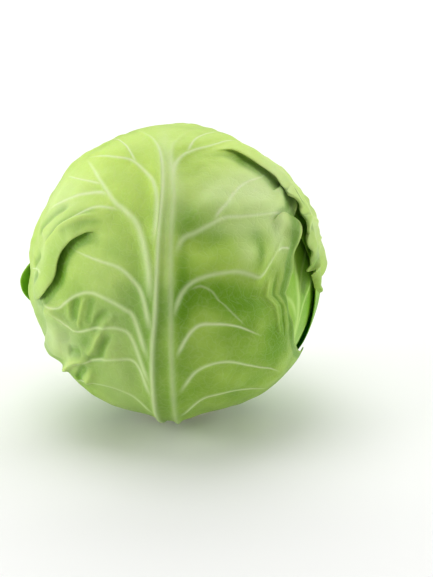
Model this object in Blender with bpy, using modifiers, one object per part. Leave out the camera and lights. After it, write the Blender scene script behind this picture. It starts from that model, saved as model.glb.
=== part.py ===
"""A head of white cabbage, as picked: a cut stem, a tight heart and six wrapper leaves.

Metres, +Z up. The origin is the centre of the flat cut under the stem, on which the head stands,
and the head is seen from the front along +Y. The leaves grow in a spiral up the stem, so each one
faces a golden angle further round than the one outside it, and lies on the ones inside it.
"""

import math

import bmesh
import bpy
from mathutils import Vector

HEAD_RADIUS = 0.0800  # to the outside of the wrapper leaves, at the widest
HEAD_CENTRE_HEIGHT = 0.0790
BASE_FLATNESS = 0.945  # the underside lies at about this share of the radius below the centre
BASE_SHARPNESS = 12  # how quickly the round side turns into the flatter underside

STEM_CUT_RADIUS = 0.0175
STEM_TOP_RADIUS = 0.0190
STEM_CHAMFER = 0.0012

LEAF_THICKNESS = 0.0010
LEAF_PITCH = 0.0025  # how far the outside of a leaf lies under the outside of the one on it
FOOT_GAP = 0.0010  # between a leaf's foot and the stem
HEART_GAP = 0.0006  # more than the layers leave, between the heart and the leaves on it
STEM_GAP = 0.0004  # between the heart and the stem under it
GOLDEN_ANGLE = 137.5
LEAF_TILT = 8.0  # degrees that the middle of a leaf faces above the horizon

# From the outermost leaf inwards. Each reach is in degrees of arc from the middle of the leaf:
# to its left edge, its right edge and its tip. Each lift is how far an edge stands off, in metres.
LEAVES = (
    ("front_leaf", 90, 92, 112, 0.0035, 0.0045),
    ("back_right_leaf", 70, 72, 84, 0.0000, 0.0055),
    ("left_leaf", 68, 74, 92, 0.0000, 0.0000),
    ("right_leaf", 84, 82, 90, 0.0000, 0.0000),
    ("back_leaf", 82, 84, 98, 0.0000, 0.0000),
    ("front_left_leaf", 84, 82, 88, 0.0000, 0.0000),
)
FOOT_NOTCH = 0.55  # how much of each lower quarter of the outline the notch for the stem takes
COVER_STARTS, COVER_ENDS = 1.05, 1.32  # where the step down from a leaf's edge starts and ends
LIFT_STARTS = 0.78

LEAF_STEPS = 18
HEART_RINGS = 18
HEART_STEPS = 32
STEM_STEPS = 40

LEAF_GREEN = (0.42, 0.62, 0.16, 1)
HEART_GREEN = (0.66, 0.76, 0.40, 1)
STEM_CREAM = (0.80, 0.80, 0.58, 1)
LEAF_ROUGHNESS = 0.45
STEM_ROUGHNESS = 0.60


def smooth(low, high, value):
    """0 below low and 1 above high, with a soft start and end."""
    share = min(max((value - low) / (high - low), 0.0), 1.0)
    return share * share * (3 - 2 * share)


def base_share(down):
    """The head's radius as a share of HEAD_RADIUS, where down is 1 straight under its centre."""
    flat = (max(down, 0.0) / BASE_FLATNESS) ** BASE_SHARPNESS
    return (1 + flat) ** (-1 / BASE_SHARPNESS)


class Leaf:
    """A leaf's outline on the round head, as directions from the head's centre."""

    def __init__(self, order, over):
        self.name, left, right, tip, self.left_lift, self.right_lift = LEAVES[order]
        self.over = over  # the leaves that lie on this one
        turn = math.radians(GOLDEN_ANGLE * order)
        tilt = math.radians(LEAF_TILT)
        upright = Vector((0, 0, 1))
        self.outward = Vector((math.sin(turn), -math.cos(turn), 0))
        self.right = Vector((math.cos(turn), math.sin(turn), 0))
        self.middle = self.outward * math.cos(tilt) + upright * math.sin(tilt)
        self.up = upright * math.cos(tilt) - self.outward * math.sin(tilt)
        foot = math.pi / 2 + tilt - self.beside_stem()
        self.reaches = (math.radians(right), math.radians(tip), math.radians(left), foot)

    def beside_stem(self):
        """Angle at the head's centre from straight down to where the leaf clears the stem."""
        angle = 0.25
        for _ in range(8):
            direction = self.outward * math.sin(angle) - Vector((0, 0, math.cos(angle)))
            angle = math.asin((STEM_TOP_RADIUS + FOOT_GAP) / radius_under(self.over, direction))
        return angle

    def reach(self, way):
        """Arc from the middle to the edge. way is 0 to the right and a quarter turn to the tip."""
        quarters = (way / (math.pi / 2)) % 4
        corner = int(quarters)
        starts = 1 - FOOT_NOTCH if corner == 2 else 0
        ends = FOOT_NOTCH if corner == 3 else 1
        blend = smooth(starts, ends, quarters - corner)
        return self.reaches[corner] * (1 - blend) + self.reaches[(corner + 1) % 4] * blend

    def direction(self, share, way):
        """The direction share of the way from the middle to the edge."""
        arc = share * self.reach(way)
        sideways = self.right * math.cos(way) + self.up * math.sin(way)
        return self.middle * math.cos(arc) + sideways * math.sin(arc)

    def cover(self, direction):
        """1 where this leaf lies over the head, and down to 0 a little way past its edge."""
        arc = math.acos(max(-1.0, min(1.0, direction.dot(self.middle))))
        way = math.atan2(direction.dot(self.up), direction.dot(self.right))
        return 1 - smooth(COVER_STARTS, COVER_ENDS, arc / self.reach(way))

    def lift(self, share, way, direction):
        """How far a curled edge stands off, where no leaf lies on it to hold it down."""
        side = math.cos(way)
        full = self.right_lift if side > 0 else self.left_lift
        free = math.prod(1 - leaf.cover(direction) for leaf in self.over)
        return full * side * side * smooth(LIFT_STARTS, 1.0, share) * free


def radius_under(leaves, direction):
    """The head's outside radius, less a layer for each of these leaves that covers it."""
    layers = sum(leaf.cover(direction) for leaf in leaves)
    return (HEAD_RADIUS - layers * LEAF_PITCH) * base_share(-direction.z)


def leaves_of_head():
    """The leaves from the outermost inwards. Each fits under those before it."""
    leaves = []
    for order in range(len(LEAVES)):
        leaves.append(Leaf(order, over=list(leaves)))
    return leaves


def square_to_round(x, y):
    """(radius, angle) in a disc for a point of a square, so that a grid gets a round outline."""
    if abs(x) < 1e-9 and abs(y) < 1e-9:
        return 0.0, 0.0
    if abs(x) > abs(y):
        angle = math.pi / 4 * y / x
        return abs(x), angle if x > 0 else angle + math.pi
    angle = math.pi / 2 - math.pi / 4 * x / y
    return abs(y), angle if y > 0 else angle + math.pi


def material(name, colour, roughness):
    made = bpy.data.materials.new(name)
    made.use_nodes = True
    shader = made.node_tree.nodes["Principled BSDF"]
    shader.inputs["Base Color"].default_value = colour
    shader.inputs["Roughness"].default_value = roughness
    shader.inputs["Metallic"].default_value = 0.0
    return made


def add_object(name, mesh, finish, collection):
    mesh.materials.append(finish)
    made = bpy.data.objects.new(name, mesh)
    collection.objects.link(made)
    return made


def leaf_object(leaf, finish, collection):
    """A square grid rounded to the leaf's outline, wrapped round the head and given thickness."""
    bm = bmesh.new()
    bmesh.ops.create_grid(bm, x_segments=LEAF_STEPS, y_segments=LEAF_STEPS, size=1.0)
    centre = Vector((0, 0, HEAD_CENTRE_HEIGHT))
    for vertex in bm.verts:
        share, way = square_to_round(vertex.co.x, vertex.co.y)
        direction = leaf.direction(share, way)
        radius = radius_under(leaf.over, direction) + leaf.lift(share, way, direction)
        vertex.co = centre + direction * radius
    mesh = bpy.data.meshes.new(leaf.name)
    bm.to_mesh(mesh)
    bm.free()
    mesh.shade_smooth()
    made = add_object(leaf.name, mesh, finish, collection)
    shell = made.modifiers.new("thickness", "SOLIDIFY")
    shell.thickness = LEAF_THICKNESS
    shell.offset = -1.0  # the grid is the outer face, and the thickness goes inwards
    return made


def heart_object(leaves, finish, collection):
    """The tight ball inside the wrapper leaves, which only a knife would part."""
    bm = bmesh.new()
    bmesh.ops.create_uvsphere(bm, u_segments=HEART_STEPS, v_segments=HEART_RINGS, radius=1.0)
    centre = Vector((0, 0, HEAD_CENTRE_HEIGHT))
    for vertex in bm.verts:
        direction = vertex.co.normalized()
        vertex.co = centre + direction * (radius_under(leaves, direction) - HEART_GAP)
    mesh = bpy.data.meshes.new("heart")
    bm.to_mesh(mesh)
    bm.free()
    mesh.shade_smooth()
    return add_object("heart", mesh, finish, collection)


def stem_object(top, finish, collection):
    """The stalk, cut flat where the head was taken from the plant: a profile turned about Z."""
    profile = (
        (0, top),
        (STEM_TOP_RADIUS - STEM_CHAMFER, top),
        (STEM_TOP_RADIUS, top - STEM_CHAMFER),
        (STEM_CUT_RADIUS, STEM_CHAMFER),
        (STEM_CUT_RADIUS - STEM_CHAMFER, 0),
        (0, 0),
    )
    mesh = bpy.data.meshes.new("stem")
    mesh.from_pydata([(radius, 0, height) for radius, height in profile],
                     [(i, i + 1) for i in range(len(profile) - 1)], [])
    made = add_object("stem", mesh, finish, collection)
    screw = made.modifiers.new("turn", "SCREW")
    screw.steps = screw.render_steps = STEM_STEPS
    screw.use_merge_vertices = True
    screw.merge_threshold = 0.00001
    screw.use_smooth_shade = True
    return made


def main():
    for old in list(bpy.data.objects):
        bpy.data.objects.remove(old)
    collection = bpy.data.collections.new("cabbage_head")
    bpy.context.scene.collection.children.link(collection)
    leaf_finish = material("leaf", LEAF_GREEN, LEAF_ROUGHNESS)
    heart_finish = material("heart", HEART_GREEN, LEAF_ROUGHNESS)
    stem_finish = material("stem", STEM_CREAM, STEM_ROUGHNESS)
    leaves = leaves_of_head()
    heart = heart_object(leaves, heart_finish, collection)
    heart_foot = min(vertex.co.z for vertex in heart.data.vertices)
    stem_object(heart_foot - STEM_GAP, stem_finish, collection)
    for leaf in leaves:
        leaf_object(leaf, leaf_finish, collection)


main()
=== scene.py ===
# %% [markdown]
# # A head of white cabbage
# Real heads are built from the outside of the plant inwards: broad wrapper leaves, each with a thick
# midrib, clasp a ball of younger leaves, and all of them grow from one short stem. The frame that is
# loaded here holds the head's true size and place, as plain shells. This script grows the finished
# leaves, the heart and the cut stem in the same places.

import math

import bmesh
import bpy
import numpy as np
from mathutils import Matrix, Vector, noise


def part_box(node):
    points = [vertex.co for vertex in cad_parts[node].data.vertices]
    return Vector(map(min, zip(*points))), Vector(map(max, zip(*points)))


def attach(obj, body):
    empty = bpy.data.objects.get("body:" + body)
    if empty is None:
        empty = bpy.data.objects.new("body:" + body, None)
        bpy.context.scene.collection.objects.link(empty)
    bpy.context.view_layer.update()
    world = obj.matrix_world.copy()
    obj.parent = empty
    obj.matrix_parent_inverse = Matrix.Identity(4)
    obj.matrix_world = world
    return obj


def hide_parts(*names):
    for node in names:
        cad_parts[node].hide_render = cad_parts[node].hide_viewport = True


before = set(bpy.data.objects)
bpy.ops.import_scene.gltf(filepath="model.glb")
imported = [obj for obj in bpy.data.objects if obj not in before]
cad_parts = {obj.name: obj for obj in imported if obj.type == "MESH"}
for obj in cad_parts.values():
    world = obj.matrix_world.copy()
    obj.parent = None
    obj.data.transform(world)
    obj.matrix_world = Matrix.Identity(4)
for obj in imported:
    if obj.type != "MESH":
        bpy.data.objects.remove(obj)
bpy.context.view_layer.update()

# %% [markdown]
# ## The size of the head
# The driving sizes are those of the frame's own design: a round head, flatter underneath, with leaves in
# layers that are one pitch apart. The stem's box and the front leaf's box are printed beside them, so
# that a slip shows at once.

# %% Driving sizes
HEAD_RADIUS = 0.0800
HEAD_CENTRE = np.array((0.0, 0.0, 0.0790))
BASE_FLATNESS = 0.945
BASE_SHARPNESS = 12
STEM_CUT_RADIUS = 0.0175
STEM_TOP_RADIUS = 0.0190
LEAF_PITCH = 0.0025
LEAF_TILT = math.radians(8)
GOLDEN_ANGLE = math.radians(137.5)
COVER_STARTS, COVER_ENDS = 1.05, 1.32
FOOT_NOTCH = 0.55
FOOT_GAP = 0.0003
MM = 0.001

stem_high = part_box("stem")[1]
leaf_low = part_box("front_leaf")[0]
print("stem radius", STEM_TOP_RADIUS, "frame", stem_high[0], "stem top", stem_high[2])
print("front of the head", -HEAD_RADIUS, "frame", leaf_low[1])

# %% [markdown]
# ## Directions on a round head
# A leaf that clasps a ball is flat only on paper. The paper used here is the one a map maker would
# choose: the middle of the leaf is the middle of the map, and each point lies at its true arc and true
# bearing from there. So a vein drawn as a gentle curve on the paper is a gentle curve on the head.
# Distances on that paper are in degrees of arc, and one degree is about 1.4 mm.

# %% The leaf's paper
def smooth(low, high, value):
    """0 below low and 1 above high, with a soft start and end."""
    share = np.clip((value - low) / (high - low), 0, 1)
    return share * share * (3 - 2 * share)


def base_share(down):
    """The head's radius as a share of HEAD_RADIUS, flatter underneath."""
    return (1 + (np.maximum(down, 0) / BASE_FLATNESS) ** BASE_SHARPNESS) ** (-1 / BASE_SHARPNESS)


class Leaf:
    """One wrapper leaf's outline and its place among the others."""

    def __init__(self, order, name, left, right, tip, over):
        self.name, self.over = name, over
        turn = GOLDEN_ANGLE * order
        upright = np.array((0.0, 0.0, 1.0))
        self.outward = np.array((math.sin(turn), -math.cos(turn), 0))
        self.right = np.array((math.cos(turn), math.sin(turn), 0))
        self.middle = self.outward * math.cos(LEAF_TILT) + upright * math.sin(LEAF_TILT)
        self.up = upright * math.cos(LEAF_TILT) - self.outward * math.sin(LEAF_TILT)
        foot = 90 + math.degrees(LEAF_TILT - self.beside_stem())
        self.reaches = np.array((right, tip, left, foot), float)

    def beside_stem(self):
        """Angle at the head's centre from straight down to where the leaf meets the stem."""
        angle = 0.25
        for _ in range(8):
            direction = self.outward * math.sin(angle) - np.array((0, 0, math.cos(angle)))
            under = float(radius_under(self.over, direction))
            angle = math.asin((STEM_TOP_RADIUS + FOOT_GAP) / under)
        return angle

    def reach(self, way):
        """Degrees from the middle to the edge. way is 0 to the right and a quarter turn to the tip."""
        quarters = (way / (math.pi / 2)) % 4
        corner = quarters.astype(int) % 4
        starts = np.where(corner == 2, 1 - FOOT_NOTCH, 0)
        ends = np.where(corner == 3, FOOT_NOTCH, 1)
        blend = smooth(starts, ends, quarters - np.floor(quarters))
        return self.reaches[corner] * (1 - blend) + self.reaches[(corner + 1) % 4] * blend

    def direction(self, across, up):
        """Directions from the head's centre, for points of the leaf's paper in degrees."""
        arc = np.radians(np.hypot(across, up))[..., None]
        way = np.arctan2(up, across)[..., None]
        sideways = self.right * np.cos(way) + self.up * np.sin(way)
        return self.middle * np.cos(arc) + sideways * np.sin(arc)

    def cover(self, direction):
        """1 where this leaf lies over the head, and down to 0 a little way past its edge."""
        arc = np.degrees(np.arccos(np.clip(direction @ self.middle, -1, 1)))
        way = np.arctan2(direction @ self.up, direction @ self.right)
        return 1 - smooth(COVER_STARTS, COVER_ENDS, arc / self.reach(way))


def radius_under(leaves, direction):
    """The head's outside radius, less a layer for each of these leaves that covers it."""
    layers = sum((leaf.cover(direction) for leaf in leaves), np.zeros(direction.shape[:-1]))
    return (HEAD_RADIUS - layers * LEAF_PITCH) * base_share(-direction[..., 2])


LEAF_ROWS = (
    ("front_leaf", 90, 92, 112),
    ("back_right_leaf", 70, 72, 84),
    ("left_leaf", 68, 74, 92),
    ("right_leaf", 84, 82, 90),
    ("back_leaf", 82, 84, 98),
    ("front_left_leaf", 84, 82, 88),
)
leaves = []
for order, row in enumerate(LEAF_ROWS):
    leaves.append(Leaf(order, *row, over=list(leaves)))
print({leaf.name: [round(float(reach)) for reach in leaf.reaches] for leaf in leaves})

# %% [markdown]
# ## Slow swells
# No grown thing is a perfect ball. A slow noise moves every layer in and out by the same share, so the
# layers still lie on each other. A second, finer noise gives each blade its own gentle waves.

# %% Noise over many points
NOISE_GAIN = 1.6  # brings the library's noise to about -1 to 1


def noise_at(points, size, seed):
    """Smooth noise, about -1 to 1, at points in metres. size is the width of a swell in metres."""
    shift = Vector((seed * 7.31, seed * 3.17, seed * 5.53))
    flat = points.reshape(-1, 3) / size
    values = [noise.noise(Vector(point) + shift) for point in flat]
    return np.array(values).reshape(points.shape[:-1]) * NOISE_GAIN


FULLER_AND_FLATTER = (
    # a direction, how wide the place is, and how far it stands out, in millimetres
    ((-0.98, 0.05, 0.30), 0.30, -1.4),
    ((-0.85, -0.15, -0.50), 0.40, -0.8),
    ((-0.40, -0.10, 0.88), 0.45, 2.0),
    ((0.99, 0.00, 0.08), 0.35, 1.6),
    ((0.60, -0.70, -0.35), 0.50, 0.8),
)


def swell(direction):
    """The whole head's slow departure from round, in metres."""
    total = 1.0 * MM * noise_at(direction * HEAD_RADIUS, 0.060, 4)
    for place, width, height in FULLER_AND_FLATTER:
        place = np.array(place) / np.linalg.norm(place)
        away = np.arccos(np.clip(direction @ place, -1, 1))
        total = total + height * MM * np.exp(-((away / width) ** 2))
    return total


print("swell in mm at the front:", round(float(swell(np.array((0.0, -1.0, 0.0)))) / MM, 2))


# %% [markdown]
# ## Veins
# On the outside of a cabbage leaf the veins stand up like cords. Each is a smooth line through a few
# points on the leaf's paper, thick where it leaves its parent and fine at its end. At every point of the
# leaf three things are kept: how high the nearest vein lifts the surface, the signed distance to that
# vein's middle line, and how strong it is. A distance that changes sign at the middle line lets the
# material draw a crisp thin line even where the mesh is coarser than the line.

# %% Lines on the leaf's paper
DEGREE = HEAD_RADIUS * math.pi / 180  # metres to a degree of arc


def smooth_line(points, steps=9):
    """A Catmull-Rom curve through the points, as an array of points."""
    points = np.array(points, float)
    ends = np.vstack((2 * points[0] - points[1], points, 2 * points[-1] - points[-2]))
    t = np.linspace(0, 1, steps, endpoint=False)[:, None]
    parts = []
    for a, b, c, d in zip(ends, ends[1:], ends[2:], ends[3:]):
        parts.append(0.5 * (2 * b + (c - a) * t + (2 * a - 5 * b + 4 * c - d) * t ** 2
                            + (3 * b - a - 3 * c + d) * t ** 3))
    return np.vstack(parts + [points[-1:]])


def nearest_on_line(line, across, up):
    """(signed distance, share along the line, unit normal) of each point from a line, in degrees."""
    start, step = line[:-1], np.diff(line, axis=0)
    length = np.hypot(step[:, 0], step[:, 1])
    before = np.concatenate(([0], np.cumsum(length)))
    place = np.stack((across, up), -1)[..., None, :] - start
    along = np.clip((place * step).sum(-1) / length ** 2, 0, 1)
    away = place - along[..., None] * step
    distance = np.hypot(away[..., 0], away[..., 1])
    best = distance.argmin(-1)
    pick = np.take_along_axis
    near = pick(distance, best[..., None], -1)[..., 0]
    share = pick(along, best[..., None], -1)[..., 0]
    offset = pick(away, best[..., None, None], -2)[..., 0, :]
    normal = np.stack((-step[:, 1], step[:, 0]), -1) / length[:, None]
    side = np.sign((offset * normal[best]).sum(-1) + 1e-12)
    return near * side, (before[best] + share * length[best]) / before[-1], normal[best]


print("one degree of arc is", round(DEGREE / MM, 3), "mm")

# %% [markdown]
# ### From lines to relief
# A line becomes a cord by its half width and its height, which both shrink towards its end. Ridges and
# valleys are kept apart, so that neither wipes the other out. Beside a big vein the blade also swells
# on one side and sinks on the other, as it does between the laterals of a real leaf.

# %% Veins
MARKS = ("rib_mark", "side_mark", "twig_mark")
FAR_AWAY = (99.0, 1.0, 0.0)  # a mark's values where no vein is near
NEAR_LINE = 10  # how far from a vein points are looked at, in degrees
SHOULDER_REACH = 6.0  # from a vein to the top of the swell beside it, in millimetres
CORD_SPREAD = 1.4  # how far a cord's foot reaches out, in half widths of its line


class Vein:
    """A line on the leaf's paper in degrees, with its half widths and heights in millimetres."""

    def __init__(self, points, width, height, mark=0, end_width=0.45, end_height=0.0, shoulder=0.0,
                 pale=1.0, soft_start=0.14):
        self.line = smooth_line(points)
        self.width, self.end_width = width, end_width
        self.height, self.end_height = height, end_height
        self.mark = mark  # which of the three marks on the blade this vein is drawn with
        self.shoulder = shoulder * math.copysign(1, self.line[-1, 0] - self.line[0, 0])
        self.pale, self.soft_start = pale, soft_start


def lay_veins(veins, across, up):
    """(height in mm, {mark: (signed distance in mm, half width in mm, strength)}) of each point."""
    ridge, valley, bulge = (np.zeros(across.shape) for _ in range(3))
    marks = [np.tile(FAR_AWAY, across.shape + (1,)) for _ in MARKS]
    for vein in veins:
        low, high = vein.line.min(0) - NEAR_LINE, vein.line.max(0) + NEAR_LINE
        inside = (across > low[0]) & (across < high[0]) & (up > low[1]) & (up < high[1])
        if not inside.any():
            continue
        distance, along, _ = nearest_on_line(vein.line, across[inside], up[inside])
        distance = distance * DEGREE / MM
        away = np.abs(distance)
        half = vein.width + (vein.end_width - vein.width) * along
        top = vein.height + (vein.end_height - vein.height) * along
        ends = smooth(0, vein.soft_start, along) * (1 - smooth(0.85, 1, along))
        raised = top * ends * np.exp(-((distance / (CORD_SPREAD * half)) ** 2))
        ridge[inside] = np.maximum(ridge[inside], raised)
        valley[inside] = np.minimum(valley[inside], raised)
        fade = smooth(0, vein.soft_start, along) * (1 - smooth(0.75, 1, along))
        step = distance / SHOULDER_REACH
        bulge[inside] += vein.shoulder * fade * step * np.exp((1 - step ** 2) / 2)
        fades_from, fades_to = np.maximum(1.5 * half, 1.8), np.maximum(2.4 * half, 3.4)
        strength = vein.pale * fade * (1 - smooth(fades_from, fades_to, away))
        kept = marks[vein.mark][inside]
        nearer = away < np.abs(kept[:, 0])
        kept[nearer] = np.stack((distance, half, strength), -1)[nearer]
        marks[vein.mark][inside] = kept
    return ridge + valley + bulge, dict(zip(MARKS, marks))


trial = lay_veins([Vein(((0, -20), (0, 20)), 1.5, 2.0)], np.zeros(1), np.zeros(1))
print("a trial vein stands", round(float(trial[0][0]), 2), "mm high at its middle")

# %% [markdown]
# ### The front leaf's own veins
# This leaf is the face of the head, so its veins are drawn one by one, as a botanical artist would: the two
# ribs of the midrib side by side, which part near the top, and the laterals that leave them on each side.
# Lines are lists of (across, up) in degrees on the leaf's paper.

# %% Drawn veins
RIB, SIDE, TWIG = range(3)  # the marks. Veins that lie side by side get different ones
LEFT_RIB = ((-6, -82), (-9, -55), (-9, -22), (-7.4, -3), (-6.6, 15), (-5.6, 33), (-4.2, 48),
            (-3.7, 60), (-6.5, 69), (-12, 77), (-20, 89))
RIGHT_RIB = ((2, -82), (-1, -55), (-2, -18), (-2, 10), (-1.8, 23), (-1.2, 36), (-0.2, 48),
             (1.7, 60), (4, 70), (8, 78), (15, 88))
front_veins = [
    Vein(LEFT_RIB, 1.35, 2.2, RIB, 0.9, 0.5, soft_start=0.03),
    Vein(RIGHT_RIB, 1.5, 2.0, TWIG, 1.2, 0.5, pale=0.65, soft_start=0.03),
    Vein(((-1, 42), (1, 52), (5, 60), (11, 65), (19, 69), (29, 74), (44, 76)),
         1.4, 1.1, SIDE, shoulder=0.5),
    Vein(((-8, 18), (-7, 32), (-8, 43), (-12, 50), (-18, 56), (-25, 58), (-35, 61), (-48, 66)),
         1.6, 1.1, SIDE, shoulder=0.5),
    Vein(((-9, -2), (-10, 13), (-14, 27), (-19, 33), (-24, 37), (-31, 46), (-38, 55), (-48, 66)),
         2.0, 1.5, TWIG, 0.8, shoulder=0.5),
    Vein(((-26, 40), (-33, 42), (-47, 41), (-66, 37)), 1.2, 1.0, RIB, shoulder=0.4),
    Vein(((-21, 34), (-34, 35), (-46, 28), (-60, 20)), 1.0, 0.8, SIDE),
    Vein(((-9, -12), (-12, 2), (-16, 8), (-21, 12), (-28, 14), (-35, 16), (-44, 19)),
         1.6, 1.0, SIDE, shoulder=0.5),
    Vein(((-10, -24), (-15, -7), (-19, -3), (-28, 1), (-34, 2), (-40, 0), (-44, -3), (-48, -6), (-55, -6),
          (-64, -4)), 1.6, 1.2, TWIG, shoulder=0.6),
    Vein(((-10, -36), (-16, -16), (-21, -11), (-31, -12), (-40, -15), (-45, -13), (-49, -10), (-56, -6)),
         1.5, 1.0, SIDE, shoulder=0.6),
    Vein(((-10, -42), (-15, -26), (-22, -24), (-36, -28), (-52, -36)), 1.3, 0.8, TWIG, shoulder=0.5),
    Vein(((-10, -56), (-19, -42), (-34, -41), (-54, -50)), 1.3, 0.8, SIDE, shoulder=0.5),
    Vein(((-1, 15), (2, 22), (7, 24.5), (12, 27), (17.4, 29.6), (24, 30), (35, 30), (43, 30.5), (52, 32.5)),
         1.5, 1.0, SIDE, shoulder=1.5, pale=0.8),
    Vein(((13, 28), (16, 32), (19, 35), (22, 39), (28, 44), (40, 48)), 1.1, 0.9, RIB, shoulder=0.5),
    Vein(((-2, -8), (0.3, 0), (3, 4.8), (7, 7.7), (12.5, 9.3), (20, 10), (28.6, 10), (34, 10), (38, 14),
          (41, 17.8), (43, 20.3), (46.5, 25)), 1.4, 1.4, SIDE, 0.6, 0.8, shoulder=1.5, pale=0.85),
    Vein(((-1, -22), (6, -10), (14, -8), (24, -9), (36, -14)), 1.2, 0.7, RIB, shoulder=0.8),
    Vein(((4, 4), (10, 5), (20, -3), (27, -9)), 0.7, 0.4, TWIG, pale=0.5),
    Vein(((0, -40), (8, -27), (20, -24), (36, -30), (56, -34)), 1.3, 0.8, SIDE, shoulder=0.6),
    Vein(((0, -58), (12, -43), (28, -42), (50, -50)), 1.3, 0.8, RIB, shoulder=0.5),
    Vein(((-15, 53), (-23, 68), (-36, 84)), 0.9, 0.6, RIB),
    Vein(((-30, 45), (-44, 50), (-58, 56)), 0.8, 0.5, SIDE),
    Vein(((8, 63), (15, 76), (30, 90)), 0.9, 0.6, TWIG),
    Vein(((42, 18.4), (45, 19.7), (50, 19.9)), 0.7, 0.4, TWIG),
    Vein(((-56, 7.5), (-65, 8.3), (-76, 7)), 0.9, 0.6, SIDE),
]
print(len(front_veins), "veins on the front leaf")

# %% [markdown]
# ### Folds of the front leaf
# Where the blade is crumpled, it rises and sinks along short lines that are no veins: a fan at the left,
# a pinch below it, streaks down the lobe at the right, and ripples along the loose flap. They are laid
# like veins, but they start gently, and a valley is a fold with a height below zero.

# %% Drawn folds
def fold(points, width, height, end_width, end_height):
    """A ridge or a valley that is no vein."""
    return Vein(points, width, height, end_width=end_width, end_height=end_height, soft_start=0.25)


front_folds = [
    # the fan of ridges and valleys on the left side
    fold(((-46, 38), (-57, 35), (-64, 31), (-72, 25)), 1.9, -1.6, 2.2, -1.4),
    fold(((-40, 37), (-47, 33.5), (-55, 30.5), (-66, 24)), 1.5, 1.4, 2.0, 1.4),
    fold(((-28, 35), (-36, 33.5), (-45, 30), (-52, 26.5), (-62, 20)), 1.3, -1.0, 1.8, -1.7),
    fold(((-28, 31), (-36, 31), (-44, 28), (-51, 24), (-60, 17)), 1.2, 1.0, 1.6, 1.5),
    fold(((-27, 29), (-34, 29.4), (-42, 27), (-48, 24)), 1.0, -0.8, 1.1, -1.0),
    fold(((-60, 8), (-63, 4), (-66, 0)), 2.2, -1.6, 1.6, -1.2),
    fold(((-64, 16), (-68, 12), (-72, 10)), 2.4, -1.4, 2.0, -1.0),
    # the pinch at the lower left, and what runs out of it
    fold(((-66, -4), (-58, -6), (-49, -6), (-42, -1)), 1.3, 1.8, 1.2, 0.6),
    fold(((-58, -7), (-50, -9.5), (-45, -13), (-39, -15.5)), 1.3, 2.2, 1.2, 0.8),
    fold(((-38.5, 0), (-40.5, -5), (-40.5, -11)), 1.1, -2.4, 1.1, -1.8),
    fold(((-35.5, 1), (-37.3, -5), (-38.4, -10), (-38.6, -14)), 0.9, 1.6, 0.9, 1.2),
    fold(((-42.5, -1), (-43.2, -6), (-43.4, -11)), 0.9, 1.3, 0.9, 0.8),
    fold(((-32.5, 1), (-33.6, -5), (-34.6, -11)), 1.3, -1.8, 1.1, -1.2),
    fold(((-25, -4), (-29, -7), (-31.2, -10.5), (-33, -14)), 1.1, -2.0, 1.2, -2.0),
    fold(((-22, -6), (-26.5, -9), (-28.6, -13)), 1.3, 1.0, 1.2, 1.0),
    fold(((-25, -13), (-28, -18), (-29.7, -22), (-31, -25), (-37, -27.5)), 1.2, -2.8, 1.3, -2.4),
    fold(((-28, -12), (-31, -17), (-33, -21), (-36.5, -25)), 1.4, 2.4, 1.4, 1.8),
    fold(((-36, -16), (-37, -19), (-39, -21)), 1.4, -1.6, 1.6, -1.6),
    fold(((-39, -24), (-42.6, -25), (-46, -25)), 2.2, -2.6, 2.2, -2.2),
    fold(((-50, -13), (-49, -18), (-51, -25), (-56, -34)), 3.4, 1.6, 3.4, 1.4),
    fold(((-61, -49), (-54, -41), (-47, -33), (-41, -28.7), (-35, -29)), 1.5, 2.6, 1.4, 2.6),
    fold(((-38, -31), (-41, -35), (-44.5, -40), (-48, -47)), 1.2, -2.8, 1.4, -2.2),
    fold(((-35, -32), (-38, -38), (-42, -45)), 1.6, 1.8, 2.0, 1.6),
    # the streaks down the right lobe
    fold(((44, 15), (46, 6), (48, -4), (52, -14)), 1.0, -0.7, 1.2, -0.7),
    fold(((40, 13), (41, 4), (43, -5), (46, -14)), 1.2, 0.8, 1.2, 0.8),
    # ripples along the right flap
    fold(((44, 70), (54, 62), (62, 52), (66, 40), (68, 28)), 2.6, 1.2, 2.2, 1.4),
    fold(((60, 14), (68, 16), (80, 16)), 1.6, 1.6, 1.6, 1.0),
    fold(((62, 50), (72, 47), (84, 44)), 2.4, 1.2, 2.6, 1.2),
    fold(((62, 34), (72, 31), (84, 29)), 2.2, 1.3, 2.4, 1.3),
]
print(len(front_folds), "folds on the front leaf")

# %% [markdown]
# ### Veins of the other leaves
# The other wrapper leaves follow the rule that the drawn one shows: a midrib, laterals that leave it
# alternately and curve towards the tip, and a few branches on each. A fixed seed gives each leaf its own
# version of the rule.

# %% Veins by rule
LATERALS = 15
LATERAL_SHARES = (0.1, 0.3, 0.5, 0.75, 1.0)  # where a lateral's points lie along it
BRANCHES = ((0.34, 0.5), (0.55, -0.45), (0.72, 0.5))  # share of the lateral, and turn in radians


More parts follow.
